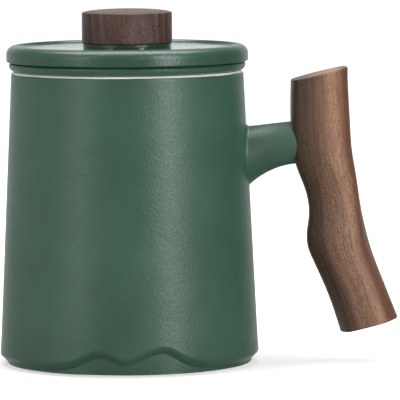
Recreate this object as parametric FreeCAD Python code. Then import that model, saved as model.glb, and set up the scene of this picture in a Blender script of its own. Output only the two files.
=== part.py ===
"""Lidded tea mug with a drop-in infuser, a disc knob and a branch-shaped side grip. Millimetres.

The origin is the centre of the foot ring, on the table. +Z is up and the grip is on the +X side.
The mug, infuser and lid are turned about Z. The wall leans inwards towards the rim, and its skin
ends above a set-back foot band along an outline that rises into two hills on the front, at -Y.
The infuser hangs by its collar on the mug's lip, and the lid rests on that collar.
The grip is a whittled branch with a mortise that holds the round end of the mug's stub.
"""
import math
import os

import FreeCAD
import Part

V = FreeCAD.Vector
UP = V(0, 0, 1)
ORIGIN = V(0, 0, 0)

# Mug wall and floor
mug_height = 102.1
wall_radius_at_foot = 45.3
wall_radius_at_rim = 40.4
wall_thickness = 4.0
lip_outer_round = 1.6
lip_inner_round = 1.0
floor_height = 6.5
floor_corner_round = 9.0

# Foot band and the hill outline above it
foot_setback = 2.6
foot_edge_round = 0.6
foot_ring_width = 5.6
foot_recess_depth = 1.4
foot_recess_round = 0.5
skin_edge_round = 1.6
# Azimuth from the front towards the grip, in degrees, and height of the skin's lower edge
hill_outline = [
    (-75, 1.3),
    (-50, 1.3),
    (-33, 1.5),
    (-22, 3.6),
    (-11.5, 6.3),
    (-2, 3.7),
    (7, 5.6),
    (17, 7.5),
    (26, 4.1),
    (33, 2.3),
    (48, 1.5),
    (75, 1.3),
    (115, 1.3),
    (155, 1.3),
    (205, 1.3),
    (245, 1.3),
]

# Stub between the mug and the grip
stub_radius = 7.45
stub_tilt = 6.0
stub_seat_x = 57.9
stub_seat_z = 76.5
stub_root_depth = 3.2
stub_flare_down = 7.6
stub_flare_sideways = 2.2
stub_flare_power = 2.2
stub_sections = 5
stub_root_fillet = 1.2
tenon_length = 9.0
tenon_edge_round = 1.0
adhesive_gap = 0.3
adhesive_end_gap = 0.6

# Grip. Each station has the height and place of its inner edge, its width and its depth
grip_stations = [
    (98.3, 56.8, 20.5, 20.8),
    (88.5, 56.6, 21.0, 21.2),
    (78.5, 56.8, 21.4, 21.2),
    (69.0, 58.1, 20.8, 20.4),
    (60.0, 61.5, 18.9, 19.2),
    (51.0, 62.8, 18.8, 19.0),
    (42.0, 62.2, 21.0, 20.6),
    (33.5, 65.3, 20.1, 20.4),
    (25.0, 69.1, 19.4, 19.9),
    (17.0, 72.0, 19.6, 20.0),
    (9.9, 74.1, 20.3, 20.4),
]
grip_cut_slope_top = 13.6
grip_cut_slope_bottom = 14.5
grip_squareness = 2.5
grip_facets = 6
grip_facet_depth = 0.024
grip_facet_turn_top = -84.0
grip_facet_turn_bottom = -128.0
grip_end_round = 0.5
grip_section_points = 36
grip_sections = 24

# Infuser
collar_overhang = 0.8
collar_height = 2.9
collar_top_round = 0.8
collar_under_round = 2.0
infuser_mouth_clearance = 1.0
infuser_mouth_round = 1.0
infuser_depth = 62.0
infuser_taper = 4.1
infuser_wall = 2.6
infuser_floor = 3.0
infuser_corner_round = 4.0
hole_radius = 1.2
hole_rings = 3
hole_pitch = 7.4

# Lid
lid_overhang = 0.9
lid_height = 6.0
lid_bevel_width = 1.7
lid_bevel_height = 0.45
lid_bevel_round = 0.3
lid_crest_round = 3.1
lid_rim_width = 3.5
lid_dish_depth = 0.8
lid_dish_round = 0.6
lid_boss_height = 1.3
lid_boss_inset = 0.4
lid_underside_rise = 1.2
lid_plug_clearance = 1.2
lid_plug_wall = 2.8
lid_plug_depth = 2.4
lid_plug_round = 0.8

# Knob and its fixing
knob_radius = 15.7
knob_height = 10.6
knob_crown = 1.4
knob_pillow_turn = 84.0
knob_edge_round = 0.6
screw_radius = 2.0
screw_grip_in_wood = 8.0
screw_tip_length = 1.6
screw_head_radius = 3.9
screw_head_height = 2.3
screw_head_round = 1.1
screw_slot_width = 0.9
screw_slot_depth = 1.1
screw_hole_clearance = 0.3
screw_pilot_clearance = 0.04
washer_radius = 5.2
washer_thickness = 0.8
washer_hole_clearance = 0.15
seal_radius = 5.8
seal_thickness = 1.2

# Levels and radii that follow from the sizes above
foot_radius = wall_radius_at_foot - foot_setback
mouth_radius = wall_radius_at_rim - wall_thickness
cup_radius = mouth_radius - infuser_mouth_clearance
cup_bore = cup_radius - infuser_wall
infuser_bottom = mug_height - infuser_depth
infuser_floor_top = infuser_bottom + infuser_floor
collar_radius = wall_radius_at_rim + collar_overhang
collar_top = mug_height + collar_height
lid_radius = collar_radius + lid_overhang
lid_top = collar_top + lid_height
lid_dish_floor = lid_top - lid_dish_depth
lid_boss_top = lid_dish_floor + lid_boss_height
lid_underside = collar_top + lid_underside_rise
knob_edge_top = lid_boss_top + knob_height
seal_bottom = lid_underside - seal_thickness
washer_bottom = seal_bottom - washer_thickness


def wall_radius(height):
    """Outer radius of the leaning wall at a height."""
    return wall_radius_at_foot + (wall_radius_at_rim - wall_radius_at_foot) * height / mug_height


def infuser_radius(height):
    """Outer radius of the tapered infuser at a height."""
    return cup_radius - infuser_taper * (mug_height - height) / infuser_depth


def rounded_corner(before, corner, after, radius):
    """Start, middle and end of the arc that rounds one corner."""
    to_before = before.sub(corner).normalize()
    to_after = after.sub(corner).normalize()
    half = to_before.getAngle(to_after) / 2
    reach = radius / math.tan(half)
    bisector = to_before.add(to_after).normalize()
    middle = corner.add(bisector.multiply(radius / math.sin(half) - radius))
    return corner.add(to_before.multiply(reach)), middle, corner.add(to_after.multiply(reach))


def turned(corners):
    """A solid turned about Z from its (radius, height, rounding) corners."""
    points = [V(radius, 0, height) for radius, height, _ in corners]
    pieces = []
    for index, (_, _, rounding) in enumerate(corners):
        if rounding:
            after = points[(index + 1) % len(points)]
            pieces.append(rounded_corner(points[index - 1], points[index], after, rounding))
        else:
            pieces.append((points[index],))
    edges = []
    for index, piece in enumerate(pieces):
        if len(piece) == 3:
            edges.append(Part.Arc(*piece).toShape())
        start = piece[-1]
        end = pieces[(index + 1) % len(pieces)][0]
        if start.distanceToPoint(end) > 1e-6:
            edges.append(Part.makeLine(start, end))
    return Part.Face(Part.Wire(edges)).revolve(ORIGIN, UP, 360)


def ring(inner, outer, bottom, top):
    """A plain ring about Z."""
    disc = Part.makeCylinder(outer, top - bottom, V(0, 0, bottom))
    return disc.cut(Part.makeCylinder(inner, top - bottom, V(0, 0, bottom)))


def smooth_loop(points):
    """A closed smooth curve through points."""
    curve = Part.BSplineCurve()
    curve.interpolate(Points=points, PeriodicFlag=True)
    return curve.toShape()


def edges_where(shape, test):
    """The edges whose middle point passes a test."""
    found = []
    for edge in shape.Edges:
        middle = edge.valueAt((edge.FirstParameter + edge.LastParameter) / 2)
        if test(middle):
            found.append(edge)
    return found


def hill_loop(radius):
    """The skin's lower edge at one radius. The cut slopes up outwards at 45 degrees."""
    points = []
    for azimuth, height in hill_outline:
        turn = math.radians(azimuth)
        rise = height + radius - foot_radius
        points.append(V(radius * math.sin(turn), -radius * math.cos(turn), rise))
    return smooth_loop(points)


def space_under_skin():
    """What is cut away around the foot band, up to the hill outline."""
    inside = foot_radius - foot_setback / 2
    outside = wall_radius_at_foot + wall_thickness
    slope = Part.makeRuledSurface(hill_loop(inside), hill_loop(outside))
    depth = mug_height / 2
    return slope.extrude(V(0, 0, -depth)).common(ring(foot_radius, outside, -depth, depth))


def mug_shell():
    """The turned mug with the cut under its skin, before the stub is added."""
    foot_inner = foot_radius - foot_ring_width
    shell = turned([
        (0, foot_recess_depth, 0),
        (foot_inner - foot_recess_depth, foot_recess_depth, foot_recess_round),
        (foot_inner, 0, foot_recess_round),
        (wall_radius(0), 0, 0),
        (wall_radius(mug_height), mug_height, lip_outer_round),
        (mouth_radius, mug_height, lip_inner_round),
        (wall_radius(floor_height) - wall_thickness, floor_height, floor_corner_round),
        (0, floor_height, 0),
    ])
    shell = shell.cut(space_under_skin()).Solids[0]

    def on_skin_edge(point):
        reach = math.hypot(point.x, point.y)
        return point.z < mug_height / 4 and abs(reach - wall_radius(point.z)) < foot_setback / 8

    def on_foot_edge(point):
        return abs(point.z) < 1e-6 and abs(math.hypot(point.x, point.y) - foot_radius) < 1e-6

    skin_edges = edges_where(shell, on_skin_edge)
    shell = shell.makeFillet(skin_edge_round, skin_edges)
    return shell.makeFillet(foot_edge_round, edges_where(shell, on_foot_edge))


def stub_frame():
    """Unit vectors along the stub and up across it."""
    tilt = math.radians(stub_tilt)
    return V(math.cos(tilt), 0, math.sin(tilt)), V(-math.sin(tilt), 0, math.cos(tilt))


def handle_stub():
    """The flared stub from inside the wall to the end of its tenon."""
    along, across = stub_frame()
    seat = V(stub_seat_x, 0, stub_seat_z)
    length = (stub_seat_x - wall_radius(stub_seat_z) + stub_root_depth) / along.x
    sections = []
    for index in range(stub_sections - 1):
        share = 1 - index / (stub_sections - 1)
        flare = share ** stub_flare_power
        half_height = stub_radius + stub_flare_down / 2 * flare
        half_width = stub_radius + stub_flare_sideways * flare
        centre = seat.sub(along * (length * share)).sub(across * (stub_flare_down / 2 * flare))
        top = centre.add(across * half_height)
        side = centre.add(V(0, half_width, 0))
        sections.append(Part.Wire(Part.Ellipse(top, side, centre).toShape()))
    end = Part.Circle(seat, along.negative(), stub_radius)
    end.XAxis = across
    sections.append(Part.Wire(end.toShape()))
    flared = Part.makeLoft(sections, True)
    tenon = Part.makeCylinder(stub_radius, tenon_length, seat, along)
    tenon = tenon.makeChamfer(tenon_edge_round, [
        edge for edge in tenon.Edges if edge.CenterOfMass.x > seat.x + along.x * tenon_length * 0.9
    ])
    return flared.fuse(tenon).removeSplitter()


def mortise():
    """The blind round hole in the grip, and the adhesive's outer face."""
    along, _ = stub_frame()
    start = V(stub_seat_x, 0, stub_seat_z).sub(along * stub_radius)
    depth = stub_radius + tenon_length + adhesive_end_gap
    return Part.makeCylinder(stub_radius + adhesive_gap, depth, start, along)


def mug_body():
    """The glazed mug with its stub, which flows into the wall."""
    body = mug_shell().fuse(handle_stub())

    def on_stub_root(point):
        reach = math.hypot(point.x, point.y)
        beside_stub = point.x > 0 and abs(point.z - stub_seat_z) < 3 * stub_radius
        return beside_stub and abs(reach - wall_radius(point.z)) < 0.02

    roots = [edge for edge in edges_where(body, on_stub_root) if edge.Length < 6 * stub_radius]
    return body.makeFillet(stub_root_fillet, roots)


def grip_course():
    """The inner edge, width and depth of the grip as one smooth curve over the drop from its top."""
    top = grip_stations[0][0]
    course = Part.BSplineCurve()
    course.interpolate(
        Points=[V(inner_x, width, depth) for _, inner_x, width, depth in grip_stations],
        Parameters=[top - height for height, _, _, _ in grip_stations],
    )
    return course


def grip_section(share):
    """One closed outline of the grip, square-shouldered with soft facets, at a share of its drop."""
    top = grip_stations[0][0]
    drop = (top - grip_stations[-1][0]) * share
    inner_x, width, depth = grip_course().value(drop)
    slope = math.radians(grip_cut_slope_top + (grip_cut_slope_bottom - grip_cut_slope_top) * share)
    turn = math.radians(
        grip_facet_turn_top + (grip_facet_turn_bottom - grip_facet_turn_top) * share ** 2
    )
    along = V(math.cos(slope), 0, math.sin(slope))
    centre = V(inner_x, 0, top - drop).add(along * (width / 2))
    points = []
    for step in range(grip_section_points):
        angle = 2 * math.pi * step / grip_section_points
        swell = 1 + grip_facet_depth * math.cos(grip_facets * (angle - turn))
        inward = math.copysign(abs(math.cos(angle)) ** (2 / grip_squareness), math.cos(angle))
        sideways = math.copysign(abs(math.sin(angle)) ** (2 / grip_squareness), math.sin(angle))
        offset = along * (width / 2 * swell * inward)
        points.append(centre.add(offset).add(V(0, depth / 2 * swell * sideways, 0)))
    return Part.Wire(smooth_loop(points))


def grip_blank():
    """The carved branch with its slanted, softened ends, before the mortise."""
    shares = [index / (grip_sections - 1) for index in range(grip_sections)]
    blank = Part.makeLoft([grip_section(share) for share in shares], True)
    ends = [face.OuterWire.Edges[0] for face in blank.Faces if isinstance(face.Surface, Part.Plane)]
    return blank.makeFillet(grip_end_round, ends)


def infuser():
    """The drop-in infuser: a tapered cup with a collar and a drilled floor."""
    cup = turned([
        (0, infuser_bottom, 0),
        (infuser_radius(infuser_bottom), infuser_bottom, infuser_corner_round),
        (cup_radius, mug_height, 0),
        (collar_radius, mug_height, collar_under_round),
        (collar_radius, collar_top, collar_top_round),
        (cup_bore, collar_top, infuser_mouth_round),
        (cup_bore, mug_height, 0),
        (
            infuser_radius(infuser_floor_top) - infuser_wall,
            infuser_floor_top,
            infuser_corner_round - infuser_wall / 2,
        ),
        (0, infuser_floor_top, 0),
    ])
    drills = []
    for index in range(hole_rings + 1):
        count = max(1, 6 * index)
        for step in range(count):
            turn = 2 * math.pi * step / count
            spot = V(math.cos(turn), math.sin(turn), 0) * (hole_pitch * index)
            spot.z = infuser_bottom - infuser_floor
            drills.append(Part.makeCylinder(hole_radius, 3 * infuser_floor, spot))
    return cup.cut(Part.makeCompound(drills))


def lid():
    """The lid: raised rim, shallow dish, low boss, and a locating ring underneath."""
    screw_hole = screw_radius + screw_hole_clearance
    plug_radius = cup_bore - lid_plug_clearance
    plug_bottom = collar_top - lid_plug_depth
    dish_radius = lid_radius - lid_rim_width
    boss_radius = knob_radius - lid_boss_inset
    return turned([
        (screw_hole, lid_underside, 0),
        (plug_radius - lid_plug_wall, lid_underside, lid_plug_round),
        (plug_radius - lid_plug_wall, plug_bottom, lid_plug_round),
        (plug_radius, plug_bottom, lid_plug_round),
        (plug_radius, collar_top, 0),
        (lid_radius - lid_bevel_width, collar_top, 0),
        (lid_radius, collar_top + lid_bevel_height, lid_bevel_round),
        (lid_radius, lid_top, lid_crest_round),
        (dish_radius, lid_top, lid_dish_round),
        (dish_radius - lid_dish_depth, lid_dish_floor, lid_dish_round),
        (boss_radius, lid_dish_floor, 0),
        (boss_radius, lid_boss_top, 0),
        (screw_hole, lid_boss_top, 0),
    ])


def screw_shank(clearance):
    """The outline of the screw's pointed end inside the knob, and of the hole that takes it."""
    point = lid_boss_top + screw_grip_in_wood
    return [
        (screw_radius + clearance, point - screw_tip_length, 0),
        (0, point + clearance, 0),
    ]


def knob_screw():
    """The slotted screw that holds the knob from inside the lid."""
    head_bottom = washer_bottom - screw_head_height
    screw = turned([
        (0, head_bottom, 0),
        (screw_head_radius, head_bottom, screw_head_round),
        (screw_head_radius, washer_bottom, 0),
        (screw_radius, washer_bottom, 0),
    ] + screw_shank(0))
    slot = Part.makeBox(
        2 * screw_head_radius,
        screw_slot_width,
        screw_slot_depth,
        V(-screw_head_radius, -screw_slot_width / 2, head_bottom),
    )
    return screw.cut(slot)


def lid_knob():
    """The turned knob with its pillowed top, and the screw's hole from below."""
    bottom = V(0, 0, lid_boss_top)
    corner = V(knob_radius, 0, lid_boss_top)
    shoulder = V(knob_radius, 0, knob_edge_top)
    crown = V(0, 0, knob_edge_top + knob_crown)
    pillow = Part.Ellipse(shoulder, crown, V(0, 0, knob_edge_top))
    flat_edge = pillow.value(math.radians(knob_pillow_turn))
    crown.z = flat_edge.z
    outline = Part.Wire([
        Part.makeLine(bottom, corner),
        Part.makeLine(corner, shoulder),
        pillow.toShape(0, math.radians(knob_pillow_turn)),
        Part.makeLine(flat_edge, crown),
        Part.makeLine(crown, bottom),
    ])
    disc = Part.Face(outline).revolve(ORIGIN, UP, 360)
    rims = edges_where(disc, lambda point: abs(point.z - lid_boss_top) < 1e-6)
    rims = [edge for edge in rims if isinstance(edge.Curve, Part.Circle)]
    disc = disc.makeFillet(knob_edge_round, rims)
    pilot = turned([
        (0, lid_boss_top, 0),
        (screw_radius + screw_pilot_clearance, lid_boss_top, 0),
    ] + screw_shank(screw_pilot_clearance))
    return disc.cut(pilot)


def build():
    """Every piece by name."""
    body = mug_body()
    blank = grip_blank()
    hole = mortise()
    return {
        "mug_body": body,
        "handle_grip": blank.cut(hole),
        "grip_bond": blank.common(hole).cut(body),
        "infuser": infuser(),
        "lid": lid(),
        "lid_knob": lid_knob(),
        "knob_screw": knob_screw(),
        "knob_washer": ring(
            screw_radius + washer_hole_clearance, washer_radius, washer_bottom, seal_bottom
        ),
        "knob_seal": ring(
            screw_radius + washer_hole_clearance, seal_radius, seal_bottom, lid_underside
        ),
    }


os.makedirs("parts", exist_ok=True)
for name, shape in build().items():
    solids = shape.Solids
    print(name, len(solids), "solid,", round(shape.Volume), "mm3, valid", shape.isValid())
    solids[0].exportStep(f"parts/{name}.step")
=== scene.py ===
"""Lidded tea mug with infuser: a satin green glaze, bare clay at lip and foot, and oiled walnut."""

import math

import bpy
from mathutils import Matrix, Vector

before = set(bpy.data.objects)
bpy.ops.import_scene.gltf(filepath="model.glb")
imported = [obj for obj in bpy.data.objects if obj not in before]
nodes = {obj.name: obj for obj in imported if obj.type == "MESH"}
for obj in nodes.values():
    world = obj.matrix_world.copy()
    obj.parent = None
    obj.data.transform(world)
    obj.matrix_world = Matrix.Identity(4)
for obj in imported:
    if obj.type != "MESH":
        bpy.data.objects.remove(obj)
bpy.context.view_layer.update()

# Sizes of the ceramic pieces, in metres
lip_top = 0.1021
wall_radius_at_foot = 0.0453
wall_radius_at_rim = 0.0404
wall_thickness = 0.0040
infuser_bore = 0.0350
lid_underside = 0.1062
lid_seat_radius = 0.0396
dish_floor = 0.1102
dish_radius = 0.0386

# Where a finish ends, in metres
bare_lip_depth = 0.00069
bare_foot_height = 0.00043
white_floor_height = 0.0040
stub_dry_start = 0.0430
stub_dry_end = 0.0540

# Middle line of the grip in the plane y = 0: height above the table, and x
grip_line = [
    (0.000, 0.0868),
    (0.010, 0.0842),
    (0.023, 0.0799),
    (0.034, 0.0754),
    (0.042, 0.0728),
    (0.052, 0.0722),
    (0.0615, 0.0708),
    (0.0725, 0.0682),
    (0.084, 0.0672),
    (0.110, 0.0668),
]
grip_line_height = grip_line[-1][0]
grip_width = 0.020

# Colours of the glaze and the clay
glaze_dark = (0.0180, 0.0560, 0.0335)
glaze_mid = (0.0215, 0.0640, 0.0395)
glaze_light = (0.0290, 0.0740, 0.0490)
white_glaze_dark = (0.54, 0.54, 0.51)
white_glaze_light = (0.60, 0.60, 0.57)
clay_dark = (0.68, 0.70, 0.60)
clay_light = (0.76, 0.78, 0.68)

# Colours of the walnut: dark, middle and light bands
grip_tones = ((0.070, 0.037, 0.021), (0.125, 0.068, 0.041), (0.165, 0.094, 0.058))
knob_tones = ((0.019, 0.0080, 0.0055), (0.057, 0.0250, 0.0170), (0.112, 0.0560, 0.0410))
# Across the grip, painted light and shade: painted shade on the mug's side, a painted highlight along a
# ridge, and a warm, darker outer side
grip_painted_shading = (
    (0.03, (0.38, 0.35, 0.31)),
    (0.25, (0.44, 0.38, 0.32)),
    (0.42, (1.12, 0.98, 0.88)),
    (0.58, (1.55, 1.40, 1.24)),
    (0.76, (2.12, 1.98, 1.84)),
    (0.91, (0.92, 0.64, 0.46)),
)
fibre_shades = (
    (0.30, (0.62, 0.60, 0.58)),
    (0.50, (1.00, 1.00, 1.00)),
    (0.72, (1.22, 1.20, 1.16)),
)
fleck_shades = (
    (0.36, (0.78, 0.77, 0.76)),
    (0.50, (1.00, 1.00, 1.00)),
    (0.64, (1.30, 1.28, 1.26)),
)

# Patterns of the glaze, in features to a metre, and its relief, in metres
cloud_scale = 38.0
speck_scale = 1700.0
gloss_scale = 420.0
peel_scale = 1150.0
peel_relief = 0.00016
sway_scale = 70.0
sway_relief = 0.0006
white_tone_scale = 60.0
clay_scale = 900.0
bare_waver_scale = 55.0
bare_waver_reach = 0.0004

# How the roughness of the ceramic changes from place to place
uneven_gloss = 0.12
stub_dryness = 0.30
level_glaze_change = -0.21
white_glaze_change = -0.20
bare_clay_change = 0.30

# Patterns of the walnut, in features to a metre, how far each runs along the grain as a share
# of its height, and its relief, in metres
drift_scale, drift_share = 45.0, 0.25
drift_reach = 0.0030
band_share = 0.02
broad_share = 0.03
fibre_scale, fibre_share, fibre_relief = 1500.0, 0.045, 0.00012
pore_scale, pore_share, pore_relief = 2300.0, 0.13, 0.00010
grit_scale, grit_relief = 1500.0, 0.00034
oiled_roughness = 0.32
grit_roughness = 0.22
pore_roughness = 0.18

# Fine uneven wear of the small parts
wear_scale = 600.0
wear_contrast = 0.18
wear_roughness = 0.2
wear_relief = 0.00005

glaze_ior = 1.50
oiled_wood_ior = 1.48

# The table, in metres, and its glow, which grows with the distance from the mug's axis: painted light
# that lights away the grip's shadow, and painted shade round the foot where it is weakest
table_side = 8.0
table_drop = 0.0002
paper_dark, paper_light = 0.36, 0.38
glow_start, glow_end = 0.052, 0.110
glow_near, glow_gain = 0.50, 0.42


def grey(level):
    return (level, level, level)


class Wiring:
    """Adds nodes to the tree of one material, or of the room, and links them."""

    def __init__(self, owner, coordinates="Object"):
        self.tree = owner.node_tree
        self.place = self.tree.nodes.new("ShaderNodeTexCoord").outputs[coordinates]

    def put(self, socket, value):
        if isinstance(value, bpy.types.NodeSocket):
            self.tree.links.new(value, socket)
        else:
            socket.default_value = value

    def node(self, kind, **inputs):
        made = self.tree.nodes.new(kind)
        for name, value in inputs.items():
            self.put(made.inputs[name], value)
        return made

    def maths(self, operation, first, second=0.0, third=0.0):
        made = self.tree.nodes.new("ShaderNodeMath")
        made.operation = operation
        for socket, value in zip(made.inputs, (first, second, third)):
            self.put(socket, value)
        return made.outputs[0]

    def times(self, first, second):
        return self.maths("MULTIPLY", first, second)

    def scaled(self, value, scale, start):
        """start + scale * value"""
        return self.maths("MULTIPLY_ADD", value, scale, start)

    def noise(self, scale, detail=2.0, roughness=0.5, place=None):
        made = self.node("ShaderNodeTexNoise", Scale=scale, Detail=detail, Roughness=roughness)
        self.put(made.inputs["Vector"], place or self.place)
        return made.outputs["Fac"]

    def ramp(self, factor, *stops):
        made = self.node("ShaderNodeValToRGB", Fac=factor)
        elements = made.color_ramp.elements
        while len(elements) < len(stops):
            elements.new(0.5)
        for element, (position, colour) in zip(elements, stops):
            element.position = position
            element.color = (*colour, 1.0)
        return made.outputs["Color"]

    def blend(self, factor, first, second, mode="MIX"):
        made = self.tree.nodes.new("ShaderNodeMix")
        made.data_type = "RGBA"
        made.blend_type = mode
        self.put(made.inputs["Factor"], factor)
        colours = [socket for socket in made.inputs if socket.type == "RGBA"]
        for socket, value in zip(colours, (first, second)):
            self.put(socket, (*value, 1.0) if isinstance(value, tuple) else value)
        return [socket for socket in made.outputs if socket.type == "RGBA"][0]

    def between(self, value, low, high):
        """0 below low and 1 above high, or the other way round if low is the larger."""
        made = self.node("ShaderNodeMapRange", Value=value)
        made.interpolation_type = "SMOOTHSTEP"
        self.put(made.inputs["From Min"], low)
        self.put(made.inputs["From Max"], high)
        return made.outputs["Result"]

    def edge(self, value, at, half):
        """Rises from 0 to 1 over twice the half width, or falls if that is negative."""
        return self.between(value, at - half, at + half)

    def bump(self, height, distance, strength, under=None):
        made = self.node("ShaderNodeBump", Height=height, Distance=distance, Strength=strength)
        if under:
            self.put(made.inputs["Normal"], under)
        return made.outputs["Normal"]

    def axes(self):
        return self.node("ShaderNodeSeparateXYZ", Vector=self.place).outputs

    def reach(self, x, y):
        """Distance from the line x = 0, y = 0."""
        return self.maths("SQRT", self.maths("ADD", self.times(x, x), self.times(y, y)))

    def together(self, x, y, z):
        return self.node("ShaderNodeCombineXYZ", X=x, Y=y, Z=z).outputs[0]


def new_material(name):
    """A material with one shader, and the wiring for its other nodes."""
    material = bpy.data.materials.new(name)
    material.use_nodes = True
    tree = material.node_tree
    tree.nodes.clear()
    output = tree.nodes.new("ShaderNodeOutputMaterial")
    shader = tree.nodes.new("ShaderNodeBsdfPrincipled")
    tree.links.new(shader.outputs["BSDF"], output.inputs["Surface"])
    return material, shader, Wiring(material)


def green_glaze(wiring):
    """Colour of the satin glaze: slow cloudy changes and fine paler specks."""
    cloud = wiring.noise(cloud_scale, 3.0, 0.55)
    colour = wiring.ramp(cloud, (0.30, glaze_dark), (0.52, glaze_mid), (0.78, glaze_light))
    speck = wiring.noise(speck_scale, 2.0, 0.6)
    return wiring.blend(wiring.between(speck, 0.60, 0.76), colour, glaze_light)


def ceramic(name, bare=None, white=None, smooth=None, painted_shade=1.0, satin=0.33):
    """Glazed ceramic, green outside, with bare clay, a white inside and level glaze where the masks say.

    painted_shade darkens the green as painted shade, a shaded copy of the same glaze, and satin is its
    least roughness.
    """
    material, shader, wiring = new_material(name)
    x, y, z = wiring.axes()
    reach = wiring.reach(x, y)
    # The green is darkened all over by painted_shade: painted shade on the whole piece
    colour = wiring.blend(1.0, green_glaze(wiring), grey(painted_shade), "MULTIPLY")
    rough = wiring.scaled(wiring.noise(gloss_scale, 2.0, 0.6), uneven_gloss, satin)
    # The glaze is drier on the stub, towards the grip
    rough = wiring.scaled(wiring.between(x, stub_dry_start, stub_dry_end), stub_dryness, rough)
    peel = wiring.noise(peel_scale, 2.5, 0.62)
    if smooth:
        mask = smooth(wiring, z, reach)
        rough = wiring.scaled(mask, level_glaze_change, rough)
        peel = wiring.times(peel, wiring.scaled(mask, -0.75, 1.0))
    if white:
        mask = white(wiring, z, reach)
        tone = wiring.noise(white_tone_scale, 3.0)
        tone = wiring.ramp(tone, (0.3, white_glaze_dark), (0.7, white_glaze_light))
        colour = wiring.blend(mask, colour, tone)
        rough = wiring.scaled(mask, white_glaze_change, rough)
    if bare:
        mask = bare(wiring, z)
        tone = wiring.ramp(wiring.noise(clay_scale, 3.0, 0.7), (0.3, clay_dark), (0.7, clay_light))
        colour = wiring.blend(mask, colour, tone)
        rough = wiring.scaled(mask, bare_clay_change, rough)
    wiring.put(shader.inputs["Base Color"], colour)
    wiring.put(shader.inputs["Roughness"], rough)
    shader.inputs["IOR"].default_value = glaze_ior
    orange_peel = wiring.bump(peel, peel_relief, 0.65)
    sway = wiring.bump(wiring.noise(sway_scale), sway_relief, 0.35, orange_peel)
    wiring.put(shader.inputs["Normal"], sway)
    return material


def mug_bare(wiring, z):
    """The wiped lip and the foot ring."""
    waver = wiring.noise(bare_waver_scale)
    waver = wiring.scaled(waver, bare_waver_reach, -0.5 * bare_waver_reach)
    level = wiring.maths("ADD", z, waver)
    lip = wiring.edge(level, lip_top - bare_lip_depth, 0.00009)
    foot = wiring.edge(level, bare_foot_height, -0.00007)
    return wiring.maths("MAXIMUM", lip, foot)


def mug_white(wiring, z, reach):
    """Inside the wall and above the floor."""
    lean = (wall_radius_at_rim - wall_radius_at_foot) / lip_top
    wall = wiring.scaled(z, lean, wall_radius_at_foot - 0.75 * wall_thickness)
    inside = wiring.edge(wiring.maths("SUBTRACT", wall, reach), 0.0, 0.0001)
    return wiring.times(inside, wiring.edge(z, white_floor_height, 0.0002))


def infuser_white(wiring, z, reach):
    """The cup below the collar, and the bore."""
    below = wiring.edge(z, lip_top, -0.0001)
    return wiring.maths("MAXIMUM", below, wiring.edge(reach, infuser_bore, -0.0002))


def lid_white(wiring, z, reach):
    """The underside within the seat."""
    under = wiring.edge(z, lid_underside + 0.0002, -0.00005)
    return wiring.times(under, wiring.edge(reach, lid_seat_radius, -0.0002))


def lid_smooth(wiring, z, reach):
    """The dish, where the glaze lay level and ran smooth, but not the boss in it."""
    high = wiring.edge(z, dish_floor - 0.0008, 0.0004)
    inner = wiring.edge(reach, dish_radius + 0.0006, -0.0008)
    off_boss = wiring.edge(z, dish_floor + 0.0003, -0.0002)
    return wiring.times(wiring.times(high, inner), off_boss)


def grip_bend(wiring, z):
    """How far the middle line of the grip lies from the mug's axis at a height."""
    made = wiring.node("ShaderNodeFloatCurve", Value=wiring.times(z, 1 / grip_line_height))
    points = made.mapping.curves[0].points
    low, span = 0.060, 0.030
    spots = [(height / grip_line_height, (x - low) / span) for height, x in grip_line]
    points[0].location = spots[0]
    points[-1].location = spots[-1]
    for spot in spots[1:-1]:
        points.new(*spot)
    made.mapping.update()
    return wiring.scaled(made.outputs[0], span, low)


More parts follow.
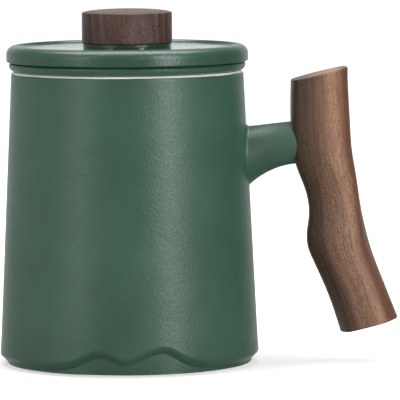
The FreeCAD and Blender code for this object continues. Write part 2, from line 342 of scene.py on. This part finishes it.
def walnut(name, tones, pith, bend=None, painted_shading=None, lean=0.0, ring=430.0):
    """Oiled walnut: growth bands round a pith, long fibres, open pores and a grainy satin.

    pith is the x and y of the tree's heart, bend the line that the grain follows, painted_shading the
    painted light and shade across it, lean its slant, and ring the closeness of the growth bands.
    """
    material, shader, wiring = new_material(name)
    x, y, z = wiring.axes()
    if bend:
        x = wiring.maths("SUBTRACT", x, bend(wiring, z))
    across = wiring.scaled(x, 1 / grip_width, 0.5)
    x = wiring.maths("SUBTRACT", wiring.scaled(z, lean, x), pith[0])
    y = wiring.maths("SUBTRACT", y, pith[1])

    def along(first, second, share):
        """A place with its height cut to a share, so that a pattern on it runs along the grain."""
        return wiring.together(first, second, wiring.times(z, share))

    waver = wiring.noise(drift_scale, place=along(x, y, drift_share))
    drift = wiring.scaled(waver, drift_reach, -0.5 * drift_reach)
    radius = wiring.maths("ADD", wiring.reach(x, y), drift)
    bands = wiring.noise(ring, 3.0, 0.55, along(radius, 0.0, band_share))
    broad = wiring.noise(0.30 * ring, place=along(radius, 0.01, broad_share))
    fibre = wiring.noise(fibre_scale, 3.0, 0.65, along(x, y, fibre_share))
    pores = wiring.noise(pore_scale, 2.0, 0.6, along(x, y, pore_share))
    pores = wiring.between(pores, 0.57, 0.68)
    grit = wiring.noise(grit_scale, 3.0, 0.7)

    dark, mid, light = tones
    colour = wiring.ramp(bands, (0.30, dark), (0.47, mid), (0.70, light))
    colour = wiring.blend(wiring.times(wiring.between(broad, 0.42, 0.60), 0.45), colour, dark)
    colour = wiring.blend(1.0, colour, wiring.ramp(fibre, *fibre_shades), "MULTIPLY")
    # Painted light and shade across the grip: painted shade on the mug's side, a painted highlight along
    # a ridge
    if painted_shading:
        colour = wiring.blend(1.0, colour, wiring.ramp(across, *painted_shading), "MULTIPLY")
    colour = wiring.blend(1.0, colour, wiring.ramp(grit, *fleck_shades), "MULTIPLY")
    colour = wiring.blend(wiring.times(pores, 0.55), colour, dark)
    wiring.put(shader.inputs["Base Color"], colour)
    rough = wiring.scaled(grit, grit_roughness, oiled_roughness)
    rough = wiring.scaled(pores, pore_roughness, rough)
    wiring.put(shader.inputs["Roughness"], rough)
    shader.inputs["IOR"].default_value = oiled_wood_ior
    relief = wiring.bump(fibre, fibre_relief, 0.55)
    relief = wiring.bump(wiring.maths("SUBTRACT", 1.0, pores), pore_relief, 0.60, relief)
    wiring.put(shader.inputs["Normal"], wiring.bump(grit, grit_relief, 0.75, relief))
    return material


def hardware(name, colour, rough, metallic=0.0):
    """A small part's finish with fine uneven wear."""
    material, shader, wiring = new_material(name)
    wear = wiring.noise(wear_scale, 3.0, 0.6)
    darker = tuple((1 - wear_contrast) * part for part in colour)
    lighter = tuple((1 + wear_contrast) * part for part in colour)
    wiring.put(shader.inputs["Base Color"], wiring.ramp(wear, (0.3, darker), (0.7, lighter)))
    wiring.put(shader.inputs["Roughness"], wiring.scaled(wear, wear_roughness, rough))
    shader.inputs["Metallic"].default_value = metallic
    wiring.put(shader.inputs["Normal"], wiring.bump(wear, wear_relief, 0.3))
    return material


finishes = {
    "mug_body": ceramic("mug_glaze", bare=mug_bare, white=mug_white),
    # The infuser and the lid take the mug's glaze darkened as painted shade
    "infuser": ceramic("infuser_glaze", white=infuser_white, painted_shade=0.92, satin=0.30),
    "lid": ceramic("lid_glaze", white=lid_white, smooth=lid_smooth, painted_shade=0.78, satin=0.27),
    "handle_grip": walnut("grip_walnut", grip_tones, (-0.060, 0.064), bend=grip_bend, painted_shading=grip_painted_shading),
    "lid_knob": walnut("knob_walnut", knob_tones, (0.022, -0.040), lean=0.16, ring=560.0),
    "grip_bond": hardware("cured_adhesive", (0.030, 0.024, 0.018), 0.55),
    "knob_screw": hardware("screw_steel", (0.60, 0.60, 0.59), 0.25, metallic=1.0),
    "knob_washer": hardware("washer_steel", (0.62, 0.62, 0.61), 0.22, metallic=1.0),
    "knob_seal": hardware("silicone", (0.72, 0.72, 0.68), 0.40),
}
for name, material in finishes.items():
    slots = nodes[name].data.materials
    slots.clear()
    slots.append(material)


def white_table():
    """A large white table that glows a little, more so away from the mug: painted light that lights away
    the grip's shadow, and painted shade round the foot where the glow is weakest.
    """
    bpy.ops.object.select_all(action="DESELECT")
    bpy.ops.mesh.primitive_plane_add(size=table_side, location=(0, 0, -table_drop))
    table = bpy.context.active_object
    table.name = "floor"
    table.visible_glossy = False
    paper, shader, wiring = new_material("white_sweep")
    tone = wiring.ramp(wiring.noise(2.0), (0.3, grey(paper_dark)), (0.7, grey(paper_light)))
    wiring.put(shader.inputs["Base Color"], tone)
    shader.inputs["Roughness"].default_value = 0.9
    shader.inputs["Specular IOR Level"].default_value = 0.2
    shader.inputs["Emission Color"].default_value = (*grey(1.0), 1.0)
    x, y, _ = wiring.axes()
    # Painted light and shade: the glow is weaker near the mug's axis and stronger further out
    away = wiring.between(wiring.reach(x, y), glow_start, glow_end)
    wiring.put(shader.inputs["Emission Strength"], wiring.scaled(away, glow_gain, glow_near))
    table.data.materials.append(paper)


def softbox(name, place, target, size, power):
    """A lamp of a width and height in metres and a power in watts, turned from its place to a target."""
    light = bpy.data.lights.new(name, "AREA")
    light.shape = "RECTANGLE"
    light.size, light.size_y = size
    light.energy = power
    lamp = bpy.data.objects.new(name, light)
    bpy.context.scene.collection.objects.link(lamp)
    lamp.location = place
    aim = Vector(target) - Vector(place)
    lamp.rotation_euler = aim.to_track_quat("-Z", "Y").to_euler()


def white_room():
    """Light from all round: white behind the mug, dim in front and at the right, lighter at the left."""
    world = bpy.data.worlds.new("studio")
    world.use_nodes = True
    room = Wiring(world, "Generated")
    x, y, _ = room.axes()
    # From the front, 0, to the back, 1
    levels = ((0.0, 0.20), (0.50, 0.16), (0.80, 0.15), (0.87, 0.24), (0.93, 0.66), (0.97, 1.0))
    behind = room.ramp(room.scaled(y, 0.5, 0.5), *((at, grey(level)) for at, level in levels))
    strength = room.scaled(room.between(x, -0.45, -0.95), 0.40, behind)
    background = world.node_tree.nodes["Background"]
    background.inputs["Color"].default_value = (*grey(1.0), 1.0)
    room.put(background.inputs["Strength"], strength)
    bpy.context.scene.world = world
    bpy.context.scene.view_settings.view_transform = "Standard"


def photo_camera():
    """The camera of the photograph: place, downward pitch, slight roll and a long lens."""
    place = Vector((0.025, -1.453, 0.1848))
    aimed_height = 0.0565
    focal_length_in_pixels = 4176.6
    image_width_in_pixels = 400.0
    pitch = math.atan((place.z - aimed_height) / -place.y)
    roll = math.radians(0.40)
    forward = Vector((0, math.cos(pitch), -math.sin(pitch)))
    upward = Vector((0, math.sin(pitch), math.cos(pitch)))
    sideways = Vector((1, 0, 0))
    image_right = math.cos(roll) * sideways - math.sin(roll) * upward
    image_up = math.sin(roll) * sideways + math.cos(roll) * upward
    lens = bpy.data.cameras.new("camera")
    lens.sensor_width = 36.0
    lens.lens = focal_length_in_pixels * lens.sensor_width / image_width_in_pixels
    lens.clip_start = 0.01
    lens.clip_end = 50.0
    camera = bpy.data.objects.new("camera", lens)
    rows = [[image_right[i], image_up[i], -forward[i], place[i]] for i in range(3)]
    camera.matrix_world = Matrix(rows + [[0, 0, 0, 1]])
    bpy.context.scene.collection.objects.link(camera)
    bpy.context.scene.camera = camera


white_table()
softbox("strip_right", (0.86, -1.00, 0.50), (0, 0, 0.06), (0.22, 1.2), 15.0)
softbox("strip_left", (-0.95, -0.95, 0.50), (0, 0, 0.06), (0.40, 1.0), 5.0)
softbox("top", (0.00, 0.10, 1.35), (0, 0, 0.05), (1.7, 0.9), 38.0)
white_room()
photo_camera()
